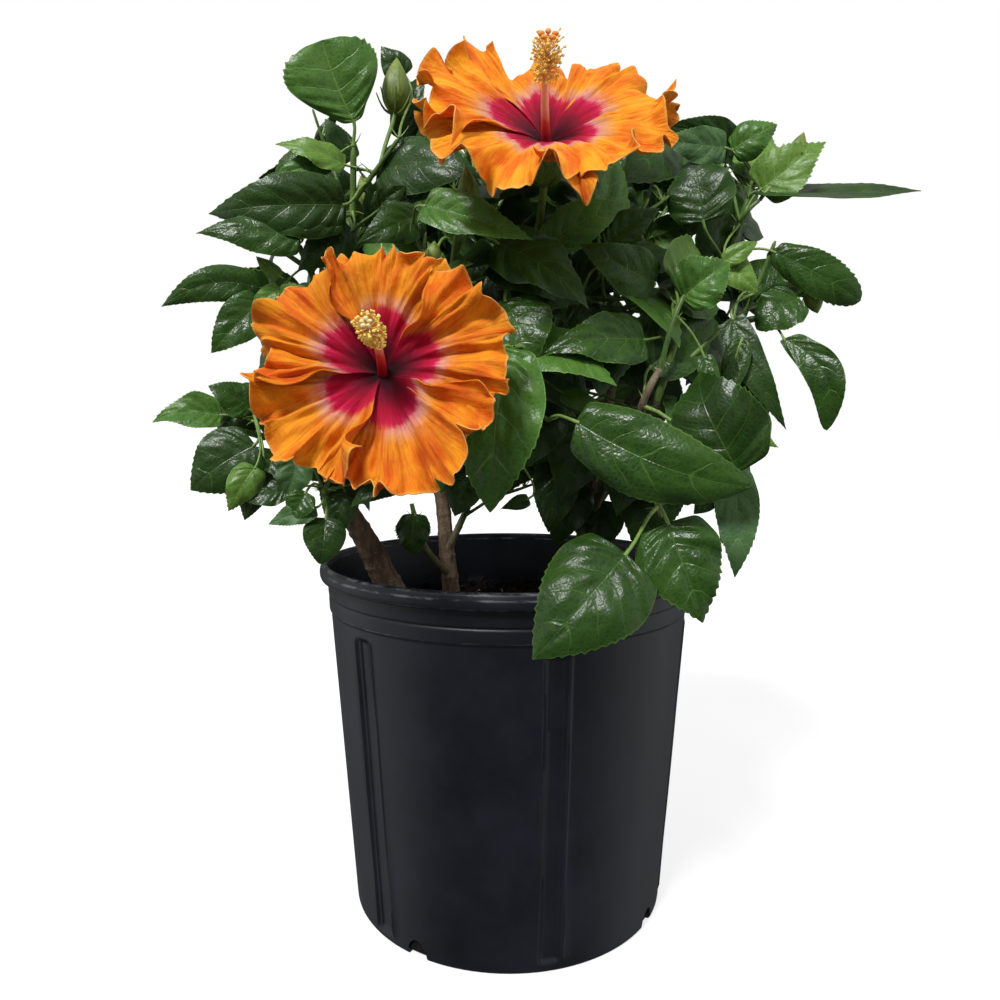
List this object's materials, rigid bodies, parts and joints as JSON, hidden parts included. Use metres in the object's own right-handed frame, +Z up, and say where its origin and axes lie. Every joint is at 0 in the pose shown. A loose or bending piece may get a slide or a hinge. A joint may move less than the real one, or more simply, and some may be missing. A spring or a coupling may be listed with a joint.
{
  "type": "potted hibiscus shrub",
  "caption": "Leafy shrub with large ruffled open flowers on woody stems, growing in a round tapered nursery pot that stands flat.",
  "frame": {"origin": "centre of the pot's flat underside, which stands on the ground", "axes": "+Z straight up, -Y towards the side that the open flowers face, +X to the right seen from that side"},
  "size_m": [0.512, 0.4313, 0.612],
  "materials": {
    "pot_plastic": "black moulded polypropylene, satin, scuffed and dusty",
    "growing_mix": "moist composted bark and peat with white grit",
    "bark": "grey-brown bark with pale pores",
    "foliage": "glossy blistered green leaves on green shoots",
    "bloom": "soft orange petals with a crimson eye"
  },
  "bodies": {
    "root": {"pot": "pot_plastic", "growing_mix": "growing_mix", "stem_left": "bark", "stem_middle": "bark", "stem_right": "bark", "bough_left_low": "bark", "bough_left_high": "bark", "bough_left_back": "bark", "bough_middle_front": "bark", "bough_middle_back": "bark", "bough_centre": "bark", "bough_right_front": "bark", "bough_right": "bark", "bough_right_back": "bark", "bloom_front": "bloom", "bloom_top": "bloom", "leaves_top_left": "foliage", "leaves_left_high": "foliage", "leaves_left": "foliage", "leaves_left_low": "foliage", "leaves_left_rim": "foliage", "leaves_left_back": "foliage", "leaves_left_back_high": "foliage", "leaves_left_back_low": "foliage", "leaves_middle_top": "foliage", "leaves_middle": "foliage", "leaves_crown": "foliage", "leaves_centre": "foliage", "leaves_core": "foliage", "leaves_glossy": "foliage", "leaves_rim": "foliage", "leaves_right_top": "foliage", "leaves_right": "foliage", "leaves_right_low": "foliage", "leaves_right_back": "foliage", "leaves_right_back_high": "foliage", "leaves_back_low": "foliage", "leaves_back": "foliage", "leaves_back_high": "foliage"}
  },
  "joints": []
}
